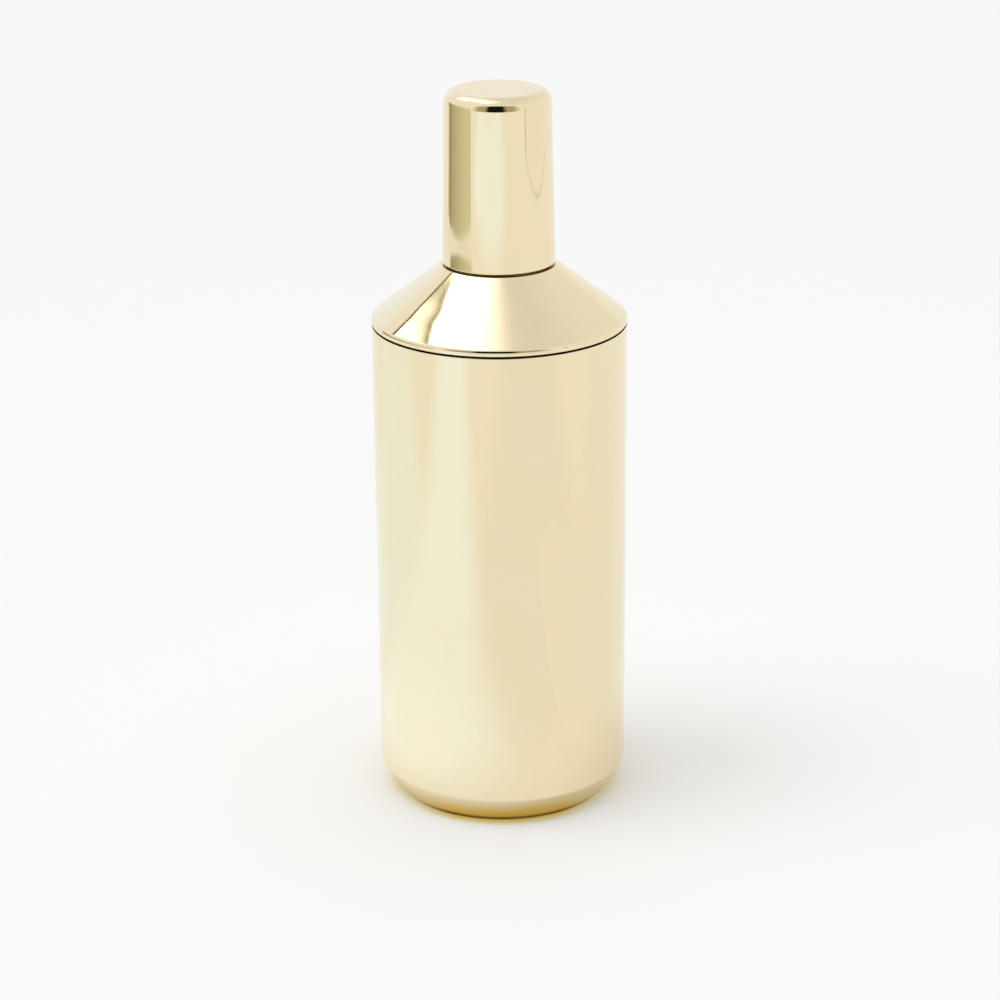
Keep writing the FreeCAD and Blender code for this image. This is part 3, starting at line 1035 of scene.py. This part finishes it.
flat_card("floor", FLOOR_SIZE, FLOOR_SIZE, make_floor_material())
print("floor", FLOOR_SIZE, "m")

# %% [markdown]
# ### World
# Camera rays, glossy rays and transmitted rays see the same white as the sweep. Only diffuse light uses
# the world's own level, which is kept plain.

# %% World
AMBIENT = 0.865


def make_world():
    world = bpy.data.worlds.new("studio")
    bpy.context.scene.world = world
    world.use_nodes = True
    tree = world.node_tree
    tree.nodes.clear()
    surface = tree.nodes.new("ShaderNodeOutputWorld").inputs["Surface"]
    seen = tree.nodes.new("ShaderNodeBackground")
    feed(tree, seen.inputs["Color"], WHITE)
    room = tree.nodes.new("ShaderNodeBackground")
    feed(tree, room.inputs["Color"], (1, 1, 1))
    feed(tree, room.inputs["Strength"], AMBIENT)
    path = tree.nodes.new("ShaderNodeLightPath").outputs
    straight = math_node(tree, "MAXIMUM", path["Is Camera Ray"], path["Is Transmission Ray"])
    either = math_node(tree, "MAXIMUM", straight, path["Is Glossy Ray"])
    mix_shaders(tree, either, room, seen, surface)


make_world()
print("world level", AMBIENT)

# %% [markdown]
# ### Key light
# The shadow falls to the right and is very soft, so the key is a broad source high on the left. A sun
# lamp with a wide angle lights the floor evenly. It doesn't show in the mirror: a panel above does that
# job.

# %% Key light
KEY_FROM = Vector((-0.50, -0.10, 0.82))
KEY_STRENGTH = 0.55
KEY_ANGLE = math.radians(38)

lamp = bpy.data.lights.new("key", "SUN")
lamp.energy = KEY_STRENGTH
lamp.angle = KEY_ANGLE
key = bpy.data.objects.new("key", lamp)
key.rotation_euler = KEY_FROM.to_track_quat("Z", "Y").to_euler()
key.visible_glossy = False
bpy.context.scene.collection.objects.link(key)
print("key light from", tuple(KEY_FROM))

# %% [markdown]
# ### Panels that the mirror sees
# A polished surface shows its surroundings, so the surroundings are part of the look. They are cards of
# one plain tone, some of them tinted, that only reflections see. They throw no light on the floor. A
# card can fade out towards its sides, which makes a soft highlight, and it can change its tone from one
# end to the other.

# %% Panel helper
def only_reflected(card):
    """Leaves a card to glossy rays alone."""
    card.visible_camera = False
    card.visible_diffuse = False
    card.visible_shadow = False
    card.visible_transmission = False


def faded_edges(tree, across, along, size, fade):
    """A share that falls to 0 at each side that has a fade width. None if no side has one."""
    width, height = size
    left, right, bottom, top = fade
    shown = None
    for value, edge, soft in (
        (across, -width / 2, left),
        (across, width / 2, -right),
        (along, -height / 2, bottom),
        (along, height / 2, -top),
    ):
        if soft == 0:
            continue
        part = ramp(tree, value, edge, edge + soft)
        shown = part if shown is None else math_node(tree, "MULTIPLY", shown, part)
    return shown


def panel(name, centre, facing, up, size, tone, far_tone=None, fade=(0, 0, 0, 0), falloff=1.0):
    """A card that only glossy rays see. fade is the width over which its left, right, bottom and top end."""
    material, tree, surface, _, (across, along, _) = bare_material(name)
    glow = tree.nodes.new("ShaderNodeEmission")
    tones = tint(tree, ramp(tree, across, -size[0] / 2, size[0] / 2), tone, far_tone or tone)
    tree.links.new(tones, glow.inputs["Color"])
    shown = faded_edges(tree, across, along, size, fade)
    if shown is None:
        tree.links.new(glow.outputs[0], surface)
    else:
        clear = tree.nodes.new("ShaderNodeBsdfTransparent")
        mix_shaders(tree, math_node(tree, "POWER", shown, falloff), clear, glow, surface)
    card = flat_card(name, *size, material)
    out = Vector(facing).normalized()
    side = Vector(up).cross(out).normalized()
    turn = Matrix((side, out.cross(side), out)).transposed().to_4x4()
    card.matrix_world = Matrix.Translation(centre) @ turn
    only_reflected(card)


# %% [markdown]
# ### Above
# A large window light hangs over the shaker. One long edge of it is hard, and the other fades out
# slowly. Along the hard edge run a dark rail and a narrow side pane that grows brighter away from the
# window. A cross rail lies near the side pane's far end. The ceiling is a little dimmer than the sweep,
# and a soffit just below it is dimmer still.

# %% Window light, rail and ceiling
WINDOW_HEIGHT = 1.30
WINDOW_ALONG = Vector((-0.436, 0.900, 0))
WINDOW_ACROSS = Vector((0.900, 0.436, 0))
DOWN = (0, 0, -1)
UP = (0, 0, 1)


def over(across, along, height=WINDOW_HEIGHT):
    """A point above the shaker, measured across and along the window light."""
    return WINDOW_ACROSS * across + WINDOW_ALONG * along + Vector((0, 0, height))


panel(
    "ceiling", (1.35, 1.75, 1.6), DOWN, (0, 1, 0), (3.2, 6.0), (0.885, 0.885, 0.885),
    fade=(1.0, 0.25, 0.6, 1.5),
)
panel(
    "soffit", (0.50, 0.50, 1.59), DOWN, (0, 1, 0), (1.5, 3.0), (0.80, 0.80, 0.80),
    fade=(0.8, 0.25, 0.6, 0.8),
)
panel(
    "window", over(-0.108, 0.47), DOWN, WINDOW_ALONG, (0.80, 1.46), (2.2, 2.2, 2.2),
    fade=(0.6, 0, 0.12, 0), falloff=2.2,
)
panel("rail", over(-0.515, 0.50, 1.29), DOWN, WINDOW_ALONG, (0.013, 1.0), (0.42, 0.39, 0.28))
panel("side_pane", over(-0.56, 1.0), DOWN, WINDOW_ALONG, (0.10, 0.9), (0.60, 0.60, 0.50), (3.0, 3.0, 3.1))
panel("cross_rail", over(-0.53, 1.42, 1.29), DOWN, (-1, 1, 0), (0.04, 0.6), (0.18, 0.16, 0.13))

# %% [markdown]
# ### Front room
# The dim room in front of the shaker, with a dark door in it, shows only in the roundings. It is the
# short dark lens at the top of the cap and the dark line along the lid's lip.

# %% Front room
ROOM_AWAY = 1.6


def toward(azimuth, away, height=0.0):
    """A point at a distance from the axis. Azimuth 0 is the front, and azimuths to the right are positive."""
    angle = math.radians(azimuth)
    return Vector((math.sin(angle) * away, -math.cos(angle) * away, height))


panel(
    "front_room", (-0.20, -ROOM_AWAY, 0.59), (0, 1, 0), (0, 0, 1), (4.4, 2.56), (0.42, 0.40, 0.24),
    fade=(1.1, 1.1, 0, 0.06),
)
panel(
    "dark_door", (-0.13, -ROOM_AWAY + 0.01, 0.59), (0, 1, 0), (0, 0, 1), (1.5, 2.5), (0.01, 0.01, 0.01),
    fade=(0.35, 0.35, 0, 0.06),
)

# %% [markdown]
# ### Screen and batten
# A low screen stands on the left and makes the long stripe on the cap. Near its back end a post darkens
# it. A bent batten on the floor makes the small dark mark below the stripe. They are smooth bent cards,
# because flat ones in a row would show as steps in the mirror.

# %% Screen and batten
STRIP_STEPS = 24
SCREEN_NEAR = 0.825
SCREEN_BOW = 0.065
SCREEN_MIDDLE = -98
SCREEN_SPREAD = 40
SCREEN_HEIGHT = 0.35
POST_AHEAD = 0.01
POST_TONE = (0.38, 0.36, 0.21)
BATTEN_FAR = 0.798
BATTEN_BOW = 0.047
BATTEN_MIDDLE = -61
BATTEN_SPREAD = 57
BATTEN_WIDTH = 0.08
FLOAT = 0.5 * MM


def strip(name, first, last, lower, upper, tone, far_tone):
    """A bent card between two rows of points, one for each azimuth. Its tone changes from first to last."""
    azimuths = [first + (last - first) * step / STRIP_STEPS for step in range(STRIP_STEPS + 1)]
    points = [lower(azimuth) for azimuth in azimuths] + [upper(azimuth) for azimuth in azimuths]
    row = STRIP_STEPS + 1
    faces = [(step, step + 1, row + step + 1, row + step) for step in range(STRIP_STEPS)]
    material, tree, surface, _, parts = bare_material(name)
    glow = tree.nodes.new("ShaderNodeEmission")
    share = ramp(tree, parts[1], points[0].y, points[STRIP_STEPS].y)
    tree.links.new(tint(tree, share, tone, far_tone), glow.inputs["Color"])
    tree.links.new(glow.outputs[0], surface)
    only_reflected(staged_card(name, points, faces, material))


def screen_away(azimuth):
    """How far the screen is from the axis. It bows away at both ends."""
    return SCREEN_NEAR + SCREEN_BOW * ((azimuth - SCREEN_MIDDLE) / SCREEN_SPREAD) ** 2


def batten_away(azimuth):
    """How far the batten's outer edge is from the axis. Its back end lies nearer."""
    return BATTEN_FAR - BATTEN_BOW * ((azimuth - BATTEN_MIDDLE) / BATTEN_SPREAD) ** 2


strip(
    "screen", -58, -124,
    lambda azimuth: toward(azimuth, screen_away(azimuth)),
    lambda azimuth: toward(azimuth, screen_away(azimuth), SCREEN_HEIGHT),
    (0.70, 0.69, 0.52), (0.46, 0.44, 0.29),
)
strip(
    "screen_post", -112, -120,
    lambda azimuth: toward(azimuth, screen_away(azimuth) - POST_AHEAD),
    lambda azimuth: toward(azimuth, screen_away(azimuth) - POST_AHEAD, SCREEN_HEIGHT),
    POST_TONE, POST_TONE,
)
strip(
    "batten", -56, -116,
    lambda azimuth: toward(azimuth, batten_away(azimuth) - BATTEN_WIDTH, FLOAT),
    lambda azimuth: toward(azimuth, batten_away(azimuth), FLOAT),
    (0.66, 0.64, 0.48), (0.38, 0.36, 0.22),
)

# %% [markdown]
# ### Boards
# A pale board stands on the right. Its end and its foot draw two thin lines in the mirror. Another
# board, paler and bluer, stands behind on the left.

# %% Boards
BOARD_AWAY = 0.95
BOARD_EDGE = (0.60, 0.56, 0.46)
panel("right_board", (BOARD_AWAY, -0.05, 0.30), (-1, 0, 0), (0, 0, 1), (1.0, 0.6), (0.93, 0.92, 0.90))
panel("board_end", (BOARD_AWAY, -0.57, 0.30), (-1, 0, 0), (0, 0, 1), (0.05, 0.6), BOARD_EDGE)
panel("board_foot", (BOARD_AWAY - 0.003, -0.05, 0.0), (-1, 0, 0), (0, 0, 1), (1.0, 0.004), BOARD_EDGE)
panel(
    "back_board", toward(-155, 1.5, 0.55), -toward(-155, 1.0), (0, 0, 1), (1.0, 1.0), (0.93, 1.0, 1.1),
    fade=(0.25, 0.25, 0.2, 0.25),
)

# %% [markdown]
# ### Sky light on the floor
# Daylight from the front left falls on the sweep. It is a little brighter and bluer there, which gives
# the body and the cap their light upright bands. To the right of it the sweep is a little dimmer. These
# cards lie just above the floor.

# %% Sky light
SKY = (0.97, 1.075, 1.19)

panel(
    "near_sky", (-0.284, -0.288, 1.5 * FLOAT), UP, (-0.588, -0.809, 0), (0.36, 0.74), SKY,
    fade=(0.12, 0.12, 0.08, 0.2),
)
panel(
    "far_sky", (-0.31, -1.02, FLOAT), UP, (-0.292, -0.956, 0), (1.35, 0.7), SKY,
    fade=(0.35, 0.2, 0.2, 0.2),
)
panel(
    "left_sky", toward(-105, 0.36, FLOAT), UP, toward(-105, 1.0), (0.5, 0.56), (0.92, 1.02, 1.08),
    fade=(0.12, 0.12, 0.1, 0.15),
)
panel(
    "foot_sky", toward(-80, 0.12, 2 * FLOAT), UP, toward(-80, 1.0), (0.22, 0.16), (1.01, 1.11, 1.22),
    fade=(0.07, 0.07, 0.04, 0.10),
)
panel(
    "dim_front", toward(25, 0.48, FLOAT), UP, toward(25, 1.0), (0.6, 0.86), (0.905, 0.905, 0.91),
    fade=(0.15, 0.15, 0.08, 0.3),
)
panel(
    "dim_right", toward(112, 0.36, FLOAT), UP, toward(112, 1.0), (0.6, 0.62), (0.915, 0.925, 0.925),
    fade=(0.15, 0.15, 0.1, 0.2),
)

# %% [markdown]
# ## Camera
# A long lens looks down on the shaker from the front, as a catalogue picture does.

# %% Camera
CAMERA_AT = Vector((-0.0003, -0.9231, 0.4384))
PITCH = math.radians(90 - 20.08)
ROLL = math.radians(-0.48)
FOCAL_LENGTH = 105.3
SENSOR_WIDTH = 36
FAR_CLIP = 20

lens = bpy.data.cameras.new("camera")
lens.lens = FOCAL_LENGTH
lens.sensor_width = SENSOR_WIDTH
lens.clip_end = FAR_CLIP
camera = bpy.data.objects.new("camera", lens)
aim = Matrix.Rotation(PITCH, 4, "X") @ Matrix.Rotation(ROLL, 4, "Z")
camera.matrix_world = Matrix.Translation(CAMERA_AT) @ aim
bpy.context.scene.collection.objects.link(camera)
bpy.context.scene.camera = camera
bpy.context.scene.view_settings.view_transform = "Standard"
print("camera at", tuple(round(value, 3) for value in CAMERA_AT))

# %% [markdown]
# ## The end
# The dressed shaker must be as large as its solids. The view layer is brought up to date.

# %% The end
bpy.context.view_layer.update()
